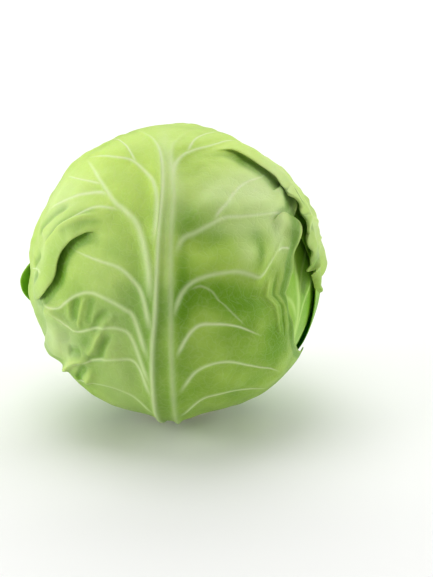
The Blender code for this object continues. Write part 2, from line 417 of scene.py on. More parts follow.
def grown_veins(seed):
    """A midrib, its laterals and their branches, as Vein objects."""
    chance = np.random.default_rng(seed)
    lean = chance.uniform(-4, 4)
    midrib = ((lean * 0.3, -82), (0, -50), (lean * 0.5, -10), (lean, 30), (lean * 0.6, 62), (0, 84))
    veins = [Vein(midrib, 3.2, 3.0, RIB, 0.7, 0.3, soft_start=0.03)]
    spine = smooth_line(midrib)
    for number, start in enumerate(np.linspace(-64, 56, LATERALS)):
        side = 1 if number % 2 else -1
        mark = SIDE if number % 4 < 2 else TWIG
        start = start + chance.uniform(-3, 3)
        foot = np.array((np.interp(start, spine[:, 1], spine[:, 0]), start))
        rise = math.radians(np.interp(start, (-60, 45), (14, 50)) + chance.uniform(-6, 6))
        length = np.interp(start, (-60, 0, 56), (60, 66, 36)) + chance.uniform(-6, 6)
        bend = chance.uniform(4, 9)
        points = [foot - (0, 7)]
        for share in LATERAL_SHARES:
            out = np.array((side * math.cos(rise), math.sin(rise))) * length * share
            lift = bend * math.sin(share * math.pi) + chance.uniform(-1.2, 1.2)
            points.append(foot + out + (0, lift))
        veins.append(Vein(points, 1.5, 1.1, mark, shoulder=0.5))
        line = smooth_line(points)
        for share, turn in BRANCHES:
            at = int((share + chance.uniform(-0.05, 0.05)) * len(line))
            step = line[at + 1] - line[at]
            heading = math.atan2(step[1], step[0])
            reach = length * (0.95 - share) * 0.8
            out = []
            for part in (0.05, 0.35, 0.7, 1.0):
                way = heading + side * turn * part ** 0.4
                out.append(line[at] + reach * part * np.array((math.cos(way), math.sin(way))))
            twig_mark = SIDE + TWIG - mark if turn > 0 else RIB
            veins.append(Vein(out, 0.85, 0.6, twig_mark, 0.4, pale=0.6))
    return veins


print(len(grown_veins(1)), "veins by rule on each of the other leaves")

# %% [markdown]
# ## Folding a leaf on itself
# Where a growing leaf has more blade than the head has room for, it folds over itself in a pleat. Seen
# across the pleat the leaf runs like a flat letter S: forward under the fold, back, and forward again on
# top. The same S is made here by sliding the sheet sideways as it rises.

# %% The S of a pleat
def pleat_slide(offset, half, slide):
    """How far a sheet is slid sideways at an offset across a pleat that reaches half to each side."""
    return -slide * np.sin(math.pi * np.clip(offset / half, -1, 1))


def pleat_rise(offset, half, back):
    """0 on the lower side of a pleat, 1 on top of it, and down to 0 again a distance back from it."""
    step = (np.clip(offset / half, -1, 1) + 1) / 2
    rise = step ** 3 * (6 * step * step - 15 * step + 10)
    return rise * (1 - smooth(half, back, offset))


def under_lip(offset, half):
    """1 along the strip that lies just under a pleat's lip, where little light gets in; shade is painted
    there.
    """
    return np.exp(-(((offset / half + 0.90) / 0.45) ** 2))


DRAWN_TOGETHER = 0.6  # how strongly the paper is gathered towards a pleat


class Pleat:
    """A pleat along a line on the leaf's paper, in degrees. Slide and rise are in millimetres."""

    def __init__(self, points, slide, rise, top_side, half=5.0, back=24.0, gather=20.0):
        self.line = smooth_line(points)
        self.slide, self.rise, self.top_side = slide, rise, top_side
        self.half, self.back, self.gather = half * MM / DEGREE, back * MM / DEGREE, gather

    def fold(self, across, up):
        """(across, up, slide across, slide up, lift in mm, share of painted shade under the lip) of each
        point.

        The paper itself is first drawn together towards the line, so that the fold has enough points.
        """
        distance, along, normal = nearest_on_line(self.line, across, up)
        distance, normal = distance * self.top_side, normal * self.top_side
        ends = smooth(0.0, 0.2, along) * (1 - smooth(0.8, 1.0, along))
        near = np.abs(distance) < self.gather
        draw = DRAWN_TOGETHER * self.gather / math.pi
        pull = np.where(near, -draw * np.sin(math.pi * distance / self.gather), 0) * ends
        offset = distance + pull
        amount = smooth(0.04, 0.30, along) * (1 - smooth(0.78, 0.97, along)) * near
        shift = pleat_slide(offset, self.half, self.slide * MM / DEGREE) * amount
        lift = self.rise * pleat_rise(offset, self.half, self.back) * amount
        across = across + normal[..., 0] * pull
        up = up + normal[..., 1] * pull
        return (across, up, normal[..., 0] * shift, normal[..., 1] * shift, lift,
                under_lip(offset, self.half) * amount)


print("halfway over a pleat the sheet has risen to", float(pleat_rise(0.0, 5.0, 24.0)), "of its height")


# %% [markdown]
# ## One leaf from a grid
# Every leaf starts as a square grid of points. Its squares are bent into a round leaf without the pinch
# that a polar grid has in its middle. The columns may be closer together where the leaf needs detail.

# %% A round grid
def square_to_round(x, y):
    """(radius, angle) in a disc for points of a square, so that a grid gets a round outline."""
    flat = np.abs(x) > np.abs(y)
    big, small = np.where(flat, x, y), np.where(flat, y, x)
    quarter = math.pi / 4 * small / np.where(np.abs(big) < 1e-9, 1e-9, big)
    angle = np.where(flat, quarter, math.pi / 2 - quarter)
    return np.abs(big), np.where(big < 0, angle + math.pi, angle)


def spaced(count, dense_at=None, dense_width=0.07, gain=1.8):
    """count values from -1 to 1, closer together near dense_at and a little wider at the ends."""
    fine = np.linspace(-1, 1, 4001)
    density = 1 - 0.35 * smooth(0.65, 0.95, np.abs(fine))
    if dense_at is not None:
        density = density + gain * np.exp(-(((fine - dense_at) / dense_width) ** 2))
    total = np.concatenate(([0], np.cumsum((density[1:] + density[:-1]) / 2)))
    return np.interp(np.linspace(0, total[-1], count), total, fine)


print("a square's corner goes to radius and angle", square_to_round(np.ones(1), np.ones(1)))

# %% [markdown]
# ### A sheet with two sides
# A leaf is thin, but it isn't a single skin. The outer side is copied inwards along the normals of the
# grid, and a rim joins the two sides all round, also round a cleft, so the shell is closed.

# %% Sheets
def grid_normals(points):
    """Unit normals of a grid of points, on the side away from the head's centre."""
    normal = np.cross(np.gradient(points, axis=0), np.gradient(points, axis=1))
    normal /= np.linalg.norm(normal, axis=-1, keepdims=True) + 1e-12
    middle = tuple(size // 2 for size in points.shape[:2])
    return normal * np.sign(normal[middle] @ (points[middle] - HEAD_CENTRE))


def sheet_faces(outer, keep):
    """Quads of the outer and the inner side of a sheet, and of the rim that joins them."""
    rows, columns = outer.shape[:2]
    index = np.arange(rows * columns).reshape(rows, columns)
    quads = np.stack((index[:-1, :-1], index[1:, :-1], index[1:, 1:], index[:-1, 1:]), -1)[keep]
    edges = np.concatenate([quads[:, [i, (i + 1) % 4]] for i in range(4)])
    _, first, counts = np.unique(np.sort(edges, 1), axis=0, return_index=True, return_counts=True)
    border = edges[first[counts == 1]]
    inner = rows * columns
    rim = np.stack((border[:, 1], border[:, 0], border[:, 0] + inner, border[:, 1] + inner), -1)
    faces = np.concatenate((quads, quads[:, ::-1] + inner, rim))
    corners = outer.reshape(-1, 3)[faces[0, :3]]
    outwards = np.cross(corners[1] - corners[0], corners[2] - corners[0]) @ grid_normals(outer)[0, 0]
    return faces if outwards > 0 else faces[:, ::-1]


def mesh_from(name, points, faces, attributes):
    """A smooth mesh object with vector attributes, its unused points left out."""
    used, index = np.unique(faces, return_inverse=True)
    faces = index.reshape(faces.shape)
    mesh = bpy.data.meshes.new(name)
    mesh.from_pydata(points[used].tolist(), [], faces.tolist())
    for key, values in attributes.items():
        store = mesh.attributes.new(key, "FLOAT_VECTOR", "POINT")
        store.data.foreach_set("vector", values[used].astype(np.float32).ravel())
    mesh.shade_smooth()
    mesh.update()
    made = bpy.data.objects.new(name, mesh)
    bpy.context.scene.collection.objects.link(made)
    return made


rows, columns = np.meshgrid(np.arange(3.0), np.arange(3.0), indexing="ij")
trial_faces = sheet_faces(np.stack((rows, columns, np.ones((3, 3))), -1), np.ones((2, 2), bool))
print("a sheet of four squares has", len(trial_faces), "faces with its rim")

# %% [markdown]
# ### What stands up from a leaf
# Besides its veins, a blade has ripples that run out from the midrib with them, finer puckers between
# them, a gently wavy outline, and a broad swelling where the midrib is thick near the foot.

# %% Waves, outline and midrib
class Relief:
    """What stands up from a leaf: veins, folds, its midrib's swelling and its waves, in millimetres."""

    def __init__(self, veins, folds=(), seed=1, waves=1.0, rib_height=3.0, ruffle=1.5, pucker=0.25):
        self.veins, self.folds, self.seed = veins, folds, seed
        self.waves, self.rib_height, self.ruffle, self.pucker = waves, rib_height, ruffle, pucker

    def blade_waves(self, across, up, place):
        """Ripples that run out from the midrib with the veins, and finer puckers between them."""
        lean = 0.42 * np.tanh(across / 8)
        out = across * np.cos(lean) + up * np.sin(lean)
        over = up * np.cos(lean) - across * np.sin(lean)
        on_paper = np.stack((out * 0.32, over, 0 * over), -1) * DEGREE
        away = smooth(3, 22, np.abs(across + 6))
        ripple = noise_at(on_paper, 0.0095, self.seed + 5) * away
        slow = noise_at(place, 0.028, self.seed)
        pucker = noise_at(place, 0.0075, self.seed + 9) * away
        return self.waves * (0.9 * slow + 0.55 * ripple) + self.pucker * pucker


def ruffled_reach(leaf, way, seed):
    """The leaf's reach with a gently wavy edge, in degrees."""
    wave = sum(math.sin(seed * (k + 1)) * np.sin(way * k + seed * k * 1.7) / k ** 0.6
               for k in (3, 5, 8, 13))
    near_foot = np.exp(-(((np.degrees(way) % 360 - 270) / 28) ** 2))
    return leaf.reach(way) * (1 - 0.012) + 1.3 * wave * (1 - near_foot)


def midrib_swell(across, up, top):
    """The broad swelling under the midrib, widest at the foot, in millimetres."""
    width = np.interp(up, (-84, -60, -20, 30, 60), (15, 10, 7, 4.5, 3))
    high = np.interp(up, (-84, -50, 0, 40, 70), (1.25, 1.0, 0.7, 0.35, 0.0)) * top
    return high * np.exp(-((((across + 6 * smooth(-90, -20, up)) / width) ** 2) ** 1.3))


print("a midrib's swelling near its foot, mm:", round(float(midrib_swell(0.0, -60.0, 3.0)), 2))

# %% [markdown]
# ### The whole leaf
# The grid is laid on the head, one pitch deeper for each leaf that lies over it, and raised by its veins,
# folds and waves. Where another leaf covers it, only a little of that relief is left, so that the layers
# don't cut through each other. Each point also keeps its place on the paper for the material, and how far
# folds and waves raise it, from which the material paints shade into the creases and under the pleats' lips
# and paints light onto the ridges.

# %% One leaf
DEEPEST = 1.2  # millimetres that a hollow may sink, because the next leaf lies close under this one
COVERED_RELIEF, COVERED_RIB = 0.15, 0.3  # shares of the relief and the midrib that show under a leaf
THICKNESS = 0.75  # of the blade between its veins, in millimetres
RIM_THICKNESS = 0.45  # share of that which is left at the rim
VEIN_DEPTH = 0.6  # share of a vein's height by which the leaf is thicker under it
LOWEST = 0.8  # millimetres that every leaf stays above the table
CREASE_SHADE, RIDGE_LIGHT, LIP_SHADE = 3.0, 1.2, 6.0  # how strongly folds paint shade and light into the tone


def flat_shape(x, y, on_paper):
    """(across, up, slides, lift, kept cells, share of painted shade under a lip) of a leaf without pleats.
    """
    across, up, _ = on_paper(x, y)
    rows, columns = x.shape
    nothing = np.zeros_like(x)
    return across, up, (0, 0), nothing, np.ones((rows - 1, columns - 1), bool), nothing


def leaf_object(leaf, relief, steps, dense_at=None, shape=flat_shape):
    """The finished mesh of one leaf. shape may slide and lift the points, and open a cleft."""
    def on_paper(x, y):
        radius, angle = square_to_round(x, y)
        way = angle + math.pi / 4
        arc = radius * ruffled_reach(leaf, way, relief.seed)
        return arc * np.cos(way), arc * np.sin(way), radius

    y, x = np.meshgrid(spaced(steps), spaced(steps, dense_at), indexing="ij")
    share = on_paper(x, y)[2]
    across, up, slid, lift, keep, lip_shade_share = shape(x, y, on_paper)
    direction = leaf.direction(across + slid[0], up + slid[1])
    free = np.ones(across.shape)
    for outer in leaf.over:
        free = free * (1 - outer.cover(direction))
    place = direction * HEAD_RADIUS + leaf.middle * 0.02 * relief.seed
    vein_height, marks = lay_veins(relief.veins, across, up)
    fold_height, _ = lay_veins(relief.folds, across, up)
    waves = relief.blade_waves(across, up, place)
    rim = 1 - smooth(0.80, 1.0, share)
    curl = relief.ruffle * (1 - rim) * (0.6 + noise_at(place, 0.018, relief.seed + 3)) * free
    curl = curl * smooth(-45, -10, up)  # the lower margins clasp the head
    rib = midrib_swell(across, up, relief.rib_height)
    height = vein_height + fold_height + waves
    height = np.where(height < 0, DEEPEST * np.tanh(height / DEEPEST), height)
    height = (height + curl + lift) * (COVERED_RELIEF + (1 - COVERED_RELIEF) * free)
    height = height + rib * (COVERED_RIB + (1 - COVERED_RIB) * free)
    base = radius_under(leaf.over, direction) + swell(direction)
    outer = HEAD_CENTRE + direction * (base + height * MM)[..., None]
    thick = THICKNESS * (RIM_THICKNESS + (1 - RIM_THICKNESS) * rim)
    thick = thick + VEIN_DEPTH * (np.maximum(vein_height, 0) + rib)
    inner = outer - grid_normals(outer) * (thick * MM)[..., None]
    points = np.concatenate((outer.reshape(-1, 3), inner.reshape(-1, 3)))
    points[:, 2] = np.maximum(points[:, 2], LOWEST * MM)
    faces = sheet_faces(outer, keep)
    # Painted shade and light: creases and the strip under each lip are stored as darker, ridges and wave
    # crests as lighter, as the third value of each point's place on the paper
    raised = np.where(fold_height < 0, CREASE_SHADE, RIDGE_LIGHT) * fold_height + waves
    raised = raised - LIP_SHADE * lip_shade_share
    on_leaf = np.stack((across * DEGREE, up * DEGREE, raised * MM), -1).reshape(-1, 3)
    attributes = {"leaf_place_and_shade": np.concatenate((on_leaf, on_leaf))}
    for key, values in marks.items():
        attributes[key] = np.concatenate([values.reshape(-1, 3)] * 2)
    return mesh_from(leaf.name + "_blade", points, faces, attributes)


print("a blade is", THICKNESS, "mm thick, and", round(THICKNESS * RIM_THICKNESS, 2), "mm at its rim")

# %% [markdown]
# ### The front leaf's pleats and cleft
# The right pleat follows a line of the grid, because below it the leaf is cleft and the grid is simply
# cut along that line. The other pleats run slantwise, so the sheet is slid across drawn lines instead.

# %% Pleats of the front leaf
front_pleats = [
    Pleat(((-22, 22), (-27, 24), (-33, 25.5), (-38, 24.5), (-43, 22), (-47, 18), (-49, 13), (-50, 8),
           (-53, 3), (-57, -1), (-63, -4), (-74, -6)), 4.8, 4.4, -1),
    Pleat(((-64, -4), (-59, -8.5), (-54.5, -12), (-54.5, -17), (-58, -23.5), (-62, -29), (-68, -40)),
          3.6, 3.2, 1, 3.6, 15.0, 10.0),
    Pleat(((37, 39.5), (42, 40), (47, 40), (51, 37), (54, 31)), 2.2, 2.0, -1, 2.2, 9.0, 7.0),
    Pleat(((35, 25), (40, 28.5), (45, 30), (50, 28.5), (55, 25), (60, 20)), 2.6, 2.6, -1, 2.4, 9.0, 7.0),
]
print(len(front_pleats), "drawn pleats, and the right one along the grid")

# %% [markdown]
# ### The cleft at the right
# Below its top the right pleat is torn open. The flap outside it hangs over the gap, and the blade inside
# it is drawn back, so that the next leaf shows between them. Each table says how far the cleft or the
# blade's margin is moved at places along the cleft, from -1 at the foot of the grid to 1 at its tip.

# %% The cleft
PER_UNIT = 98  # degrees of arc to one unit of the grid, out from the middle of the leaf
CLEFT_LINE = 0.62
CLEFT_TOP = -0.10
CLEFT_WANDER = ((-1, 0.0), (-0.62, 0.0), (-0.50, -0.01), (-0.40, 0.0), (-0.30, 0.04), (-0.10, 0.05),
                (0.06, 0.045), (0.20, 0.028), (0.32, 0.03), (0.41, -0.02), (0.60, -0.05), (1, -0.05))
BLADE_BACK = ((-1, -0.31), (-0.95, -0.345), (-0.90, -0.36), (-0.84, -0.355), (-0.77, -0.335),
              (-0.70, -0.29), (-0.63, -0.22), (-0.56, -0.15), (-0.50, -0.115), (-0.42, -0.095),
              (-0.34, -0.085), (-0.26, -0.065), (-0.20, -0.045), (CLEFT_TOP, 0.0), (0, 0.0), (1, 0.0))
BLADE_UP = ((-1, 0.09), (-0.90, 0.12), (-0.84, 0.13), (-0.77, 0.13), (-0.70, 0.125), (-0.63, 0.105),
            (-0.56, 0.075), (-0.50, 0.05), (-0.42, 0.03), (-0.34, 0.012), (-0.25, 0.0), (0, 0.0), (1, 0.0))
BACK_WIDTH, UP_WIDTH, WANDER_WIDTH, MARGIN_WIDTH = 0.48, 0.34, 0.22, 0.05  # how far in each move reaches


def along_cleft(points, y):
    """A smooth curve through (place along the cleft, value) points, read at y."""
    line = smooth_line(points, 16)
    return np.interp(y, line[:, 0], line[:, 1])


def fading(offset, width):
    """1 on the cleft's line, and less away from it."""
    return np.exp(-((offset / width) ** 2))


def open_cleft(offset, flap, y):
    """(shift across, shift up, lift in mm) that open the cleft, and give its two margins their ripples."""
    shift_x = along_cleft(CLEFT_WANDER, y) * fading(offset, WANDER_WIDTH)
    shift_x = shift_x + np.where(flap, 0, along_cleft(BLADE_BACK, y) * fading(offset, BACK_WIDTH))
    shift_y = np.where(flap, 0, along_cleft(BLADE_UP, y) * fading(offset, UP_WIDTH))
    margin = fading(offset, MARGIN_WIDTH) * (1 - smooth(-0.26, -0.08, y)) * smooth(-0.95, -0.6, y)
    ripple = np.sin(y * 25 + 0.6) * 0.7 + np.sin(y * 43) * 0.4
    shift_x = shift_x + np.where(flap, 0.014, 0.008) * ripple * margin
    gathered = smooth(0.38, 1.0, -y)  # the flap's foot is drawn up, so that it ends above the next leaf
    shift_y = shift_y + np.where(flap, (0.27 + 0.25 * (0.15 - offset)) * gathered, 0)
    shift_x = shift_x - np.where(flap, (0.3 * offset - 0.02) * gathered, 0)
    lift = np.where(flap, 2.2, 1.0) * (ripple + 0.4) * margin
    pressed = np.where(flap, 0, 1.5) * fading(offset, 0.10) * smooth(0.50, 0.75, -y)
    return shift_x, shift_y, lift - pressed


print("the cleft ends", round((CLEFT_TOP + 1) / 2, 2), "of the way up the grid")

# %% [markdown]
# ### The right pleat
# Above the cleft the same line of the grid is folded over itself. The flap keeps its rise a little way
# down, so that it stands off the blade where the pleat turns into the cleft.

# %% Right pleat and the front leaf's whole shape
PLEAT_HALF, PLEAT_BACK, PLEAT_SLIDE, PLEAT_RISE = 6.0, 24.0, 5.5, 4.2  # millimetres


def right_pleat(offset, flap, y):
    """(shift across, lift in mm, share of painted shade under the lip) of the pleat along the cleft's line.
    """
    unit = PER_UNIT * DEGREE / MM
    half = PLEAT_HALF / unit
    below_top = 1 - smooth(0.22, 0.44, y)
    closed = smooth(-0.26, -0.08, y)
    pleated = below_top * np.where(flap, smooth(-0.50, -0.32, y), closed)
    slide = pleat_slide(offset, half, PLEAT_SLIDE / unit) * pleated
    lift = PLEAT_RISE * pleat_rise(offset, half, PLEAT_BACK / unit) * np.where(flap, below_top, pleated)
    return slide, lift, under_lip(offset, half) * below_top * np.where(flap, 0, 1)


def front_shape(x, y, on_paper):
    """Slides and lifts the front leaf's points into its pleats, and opens its cleft."""
    offset = x - CLEFT_LINE
    flap = offset > 0
    shift_x, shift_y, margin_lift = open_cleft(offset, flap, y)
    slide, lift, lip_shade_share = right_pleat(offset, flap, y)
    lift = lift + margin_lift
    across, up = on_paper(x, y)[:2]
    moved = on_paper(x + shift_x + slide, y + shift_y)[:2]
    slide_across, slide_up = moved[0] - across, moved[1] - up
    for pleat in front_pleats:
        across, up, more_across, more_up, more_lift, more_lip_shade_share = pleat.fold(across, up)
        slide_across, slide_up = slide_across + more_across, slide_up + more_up
        lift = lift + more_lift
        lip_shade_share = np.maximum(lip_shade_share, more_lip_shade_share)
    keep = np.ones((x.shape[0] - 1, x.shape[1] - 1), bool)
    column = int(np.searchsorted(x[0], CLEFT_LINE)) - 1
    keep[y[:-1, 0] < CLEFT_TOP, column] = False
    return across, up, (slide_across, slide_up), lift, keep, lip_shade_share


print("the right pleat folds", 2 * PLEAT_HALF, "mm of blade and stands", PLEAT_RISE, "mm high")

# %% [markdown]
# ## Shader maths
# A node tree is a sum written with wires. This small class lets it be written as a sum again. Numbers go
# through Math nodes, and colours through Mix, because a Math node would turn them grey.

# %% Sockets with operators
class Wire:
    """A socket of a node tree, so that Python's own operators add Math nodes."""

    def __init__(self, tree, socket):
        self.tree, self.socket = tree, socket

    def node(self, kind, inputs=(), output=0, **settings):
        """Any other node: its settings first, then the values or links of its sockets."""
        made = self.tree.nodes.new(kind if "Node" in kind else "ShaderNode" + kind)
        for key, value in settings.items():
            setattr(made, key, value)
        for key, value in dict(inputs).items():
            if isinstance(value, Wire):
                self.tree.links.new(value.socket, made.inputs[key])
            else:
                made.inputs[key].default_value = value
        return Wire(self.tree, made.outputs[output])

    def other(self, output):
        """Another output of the same node."""
        return Wire(self.tree, self.socket.node.outputs[output])

    def feed(self, shader, socket):
        self.tree.links.new(self.socket, shader.inputs[socket])

    def _maths(self, operation, other=None, swap=False):
        pair = (other, self) if swap else (self, other)
        inputs = {i: v for i, v in enumerate(pair) if v is not None}
        return self.node("Math", inputs, operation=operation)

    def __add__(self, other): return self._maths("ADD", other)
    def __radd__(self, other): return self._maths("ADD", other, swap=True)
    def __sub__(self, other): return self._maths("SUBTRACT", other)
    def __rsub__(self, other): return self._maths("SUBTRACT", other, swap=True)
    def __mul__(self, other): return self._maths("MULTIPLY", other)
    def __rmul__(self, other): return self._maths("MULTIPLY", other, swap=True)
    def __truediv__(self, other): return self._maths("DIVIDE", other)
    def __rtruediv__(self, other): return self._maths("DIVIDE", other, swap=True)
    def __pow__(self, other): return self._maths("POWER", other)
    def __neg__(self): return self._maths("MULTIPLY", -1.0)
    def __abs__(self): return self._maths("ABSOLUTE")
    def exp(self): return self._maths("EXPONENT")
    def sine(self): return self._maths("SINE")
    def cosine(self): return self._maths("COSINE")
    def max(self, other): return self._maths("MAXIMUM", other)

    def ramp(self, low, high, start=0.0, end=1.0):
        """A soft step from start at low to end at high."""
        return self.node("MapRange", {0: self, 1: low, 2: high, 3: start, 4: end},
                         interpolation_type="SMOOTHSTEP")

    def tint(self, colour, other):
        """colour where this wire is 0 and other where it is 1."""
        return self.node("Mix", {0: self, 6: colour, 7: other}, output=2, data_type="RGBA")


def new_material(name):
    """(material, a Wire to start from, its Principled shader)."""
    made = bpy.data.materials.new(name)
    made.use_nodes = True
    tree = made.node_tree
    return made, Wire(tree, None), tree.nodes["Principled BSDF"]


print("operators on a wire:", [name for name in vars(Wire) if name in vars(float) and name != "__doc__"])

# %% [markdown]
# ## The leaf's skin
# A wrapper leaf is a deep yellow green under a thin bloom of wax. The veins show pale, and between them
# a fine net of smaller veins divides the blade into little panes. First come two patterns that the skin
# is mixed from: the lines along the veins, and soft oval spots: darker ones of painted shade, and paler
# ones that are partly painted sheen and partly wax.

# %% Lines and spots
def vein_shade(start, mark, sharp):
    """A soft pale line along the veins that are drawn with this mark."""
    parts = start.node("SeparateXYZ", {0: start.node("Attribute", attribute_name=mark, output=1)})
    ratio = abs(parts) / parts.other(1)
    return (-((ratio * sharp) ** 2.0)).exp() * parts.other(2)


PAINTED_SHADE_SPOTS = (
    # where a soft-edged spot of painted shade lies on the blade's paper, its half sizes, and its strength
    (0.008, 0.036, 0.009, 0.007, 0.26),
    (0.024, 0.032, 0.010, 0.004, 0.10),
    (0.027, 0.003, 0.026, 0.009, 0.50),
    (0.006, 0.044, 0.006, 0.007, 0.14),
    (0.042, 0.031, 0.0034, 0.006, 0.26),
    (0.045, 0.023, 0.0032, 0.006, 0.36),
    (0.003, 0.005, 0.003, 0.030, 0.30),
    (-0.018, 0.002, 0.010, 0.022, 0.34),
    (-0.025, 0.023, 0.014, 0.012, 0.14),
    (-0.033, -0.008, 0.012, 0.010, 0.16),
    (-0.010, 0.040, 0.010, 0.014, 0.14),
    (0.087, 0.013, 0.007, 0.010, 0.50),
    (0.060, -0.020, 0.010, 0.020, 0.20),
)
# Paler spots, partly painted sheen and partly the wax's own paleness, in the same columns
SHEEN_AND_WAX_SPOTS = (
    (0.042, 0.060, 0.024, 0.016, 0.55),
    (0.046, 0.048, 0.020, 0.012, 0.25),
    (0.018, 0.053, 0.012, 0.010, 0.28),
    (0.036, 0.024, 0.006, 0.008, 0.35),
    (0.032, 0.036, 0.018, 0.005, 0.22),
    (0.058, 0.034, 0.010, 0.012, 0.35),
    (-0.075, 0.058, 0.028, 0.026, 0.40),
    (-0.088, -0.004, 0.016, 0.050, 0.25),
    (0.075, 0.080, 0.020, 0.018, 0.45),
    (-0.068, -0.030, 0.014, 0.018, 0.50),
    (0.100, 0.034, 0.026, 0.040, 0.40),
    (-0.001, 0.072, 0.005, 0.030, 0.45),
    (-0.0055, 0.040, 0.0022, 0.040, 0.25),
)


def spots(across, up, rows):
    """The sum of soft-edged oval spots on the leaf's paper. Sizes are in metres."""
    total = across * 0.0
    for right, high, wide, tall, strength in rows:
        away = ((across - right) / wide) ** 2.0 + ((up - high) / tall) ** 2.0
        total = total + (-away).exp() * strength
    return total


print(len(PAINTED_SHADE_SPOTS), "darker and", len(SHEEN_AND_WAX_SPOTS), "paler spots on the front leaf")

# %% [markdown]
# ### The skin itself
# The blade goes from a deep to a light green by slow noise, by painted light that makes it lighter higher
# up, and by painted shade and light from its relief. Over it lie, in turn, the paler places, partly painted
# sheen and partly wax, then the net, the veins and the wax. The wax is thicker beside the midrib and at the
# foot, so those parts look whiter and less glossy. In the creases the wax and the sheen fade, as painted
# shade.

# %% Leaf material
# the colour of the painted sheen, which also stands for pale wax
PALE_SHEEN = (0.66, 0.80, 0.42, 1)
NET_SCALE, FINE_SCALE = 190.0, 520.0  # panes to a metre
BLOOM_MIDDLE, BLOOM_WIDTH = -0.034, 0.022  # where the wax is thickest, in metres across the paper


def leaf_material(name, deep, light, vein_colour, bloom_colour, bloom_amount, seed,
                  painted_shade_spots=(), sheen_and_wax_spots=()):
    """Procedural skin of a wrapper leaf, from a deep and a light green."""
    made, start, shader = new_material(name)
    on_leaf = start.node("Attribute", attribute_name="leaf_place_and_shade", output=1)
    across = start.node("SeparateXYZ", {0: on_leaf})
    up, raised = across.other(1), across.other(2)
    place = start.node("TexCoord", output=3)
    height = start.node("SeparateXYZ", {0: place}, output=2)
    rib = vein_shade(start, "rib_mark", 0.90)
    side = vein_shade(start, "side_mark", 0.95)
    twig = vein_shade(start, "twig_mark", 0.95)
    line = rib.max(side * 0.9).max(twig * 0.9)
    bend = start.node("TexNoise", {"Vector": on_leaf, "Scale": 160.0, "Detail": 2.0}, output=1)
    bend = start.node("VectorMath", {0: bend, "Scale": 0.007}, operation="SCALE")
    bent = start.node("VectorMath", {0: on_leaf, 1: bend}, operation="ADD")
    to_edge = {"feature": "DISTANCE_TO_EDGE"}
    net = start.node("TexVoronoi", {"Vector": bent, "Scale": NET_SCALE}, **to_edge).ramp(0.11, 0.0)
    fine = start.node("TexVoronoi", {"Vector": bent, "Scale": FINE_SCALE}, **to_edge).ramp(0.16, 0.0)
    patch = start.node("TexNoise", {"Vector": place, "Scale": 38.0 + seed, "Detail": 4.0})
    cloud = start.node("TexNoise", {"Vector": place, "Scale": 13.0 + seed, "Detail": 2.0})
    grain = start.node("TexNoise", {"Vector": place, "Scale": 1100.0, "Detail": 3.0})
    # Painted light: the height term makes the blade lighter higher up the head
    tone = 0.34 + (patch - 0.5) * 0.8 + (cloud - 0.5) * 0.7 + height.ramp(0.05, 0.15) * 0.45
    # Painted shade and light from the relief: darker in creases and under lips, lighter on ridges; the
    # darker spots are painted shade
    tone = tone + raised * 120.0 - spots(across, up, painted_shade_spots)
    blade = tone.ramp(0.0, 1.0).tint(deep, light)
    out_of_crease_shade = raised.ramp(-0.010, 0.0, 0.4)  # painted shade: wax and sheen fade down to 0.4 in creases and under lips
    # the paler spots: partly a painted sheen, partly the wax's own paleness
    sheen_and_wax = (spots(across, up, sheen_and_wax_spots) * out_of_crease_shade).tint(blade, PALE_SHEEN)
    netted = (net * 0.06 + fine * 0.03).tint(sheen_and_wax, vein_colour)
    skin = (line * 0.72).tint(netted, vein_colour)
    beside = (-(((across - BLOOM_MIDDLE) / BLOOM_WIDTH) ** 2.0)).exp() * up.ramp(0.085, -0.03)
    bloom = (beside * 0.55 + cloud.ramp(0.45, 0.75) * 0.06) * bloom_amount * out_of_crease_shade
    bloom.tint(skin, bloom_colour).feed(shader, "Base Color")
    (0.42 + patch * 0.12 + bloom * 0.15 + line * 0.05).feed(shader, "Roughness")
    relief = line * 0.45 + net * 0.07 + fine * 0.04 + grain * 0.03 + patch * 0.35
    start.node("Bump", {"Height": relief, "Strength": 0.55, "Distance": 0.0012}).feed(shader, "Normal")
    shader.inputs["Subsurface Weight"].default_value = 0.12
    shader.inputs["Subsurface Radius"].default_value = (0.4, 1.0, 0.10)
    shader.inputs["Subsurface Scale"].default_value = 0.003
    shader.inputs["IOR"].default_value = 1.42
    shader.inputs["Specular IOR Level"].default_value = 0.22
    return made


front_skin = leaf_material("front_leaf_skin", (0.13, 0.30, 0.003, 1), (0.50, 0.70, 0.12, 1),
                           (0.72, 0.84, 0.46, 1), (0.40, 0.53, 0.19, 1), 1.0, 0.0, PAINTED_SHADE_SPOTS, SHEEN_AND_WAX_SPOTS)
under_skin = leaf_material("under_leaf_skin", (0.12, 0.34, 0.005, 1), (0.42, 0.68, 0.07, 1),
                           (0.50, 0.73, 0.19, 1), (0.46, 0.60, 0.26, 1), 0.6, 3.0)
print("skins:", front_skin.name, len(front_skin.node_tree.nodes), "nodes,", under_skin.name,
      len(under_skin.node_tree.nodes), "nodes")

# %% [markdown]
# ## Growing the leaves
# The front leaf has the finest grid, because it is looked at most. Leaves that the others cover almost
# wholly need only a coarse one.

# %% Grow them
def dress(piece, skin, node=None):
    """Gives a piece its material and its place in the frame. node is the one that it stands for."""
    piece.data.materials.append(skin)
    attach(piece, "root")
    if node:
        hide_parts(node)
    print(piece.name, len(piece.data.polygons), "faces")


FRONT_STEPS = 215
OTHER_STEPS = (170, 170, 130, 130, 60)

front = leaf_object(leaves[0], Relief(front_veins, front_folds, seed=1, waves=0.8, rib_height=2.4),
                    FRONT_STEPS, dense_at=CLEFT_LINE, shape=front_shape)
dress(front, front_skin, "front_leaf")
for leaf, seed, steps in zip(leaves[1:], (2, 3, 4, 5, 6), OTHER_STEPS):
    blade = leaf_object(leaf, Relief(grown_veins(seed), seed=seed, waves=0.9, ruffle=0.8), steps)
    dress(blade, under_skin, leaf.name)

# %% [markdown]
# ### A curled end at the left
# Just behind the front leaf's left margin, the edge of a leaf under it curls out and shows as a bright
# green sliver. It is made as a small sheet that comes out of the head's surface and bends away from it,
# so that its outline is round where it leaves the leaf below.

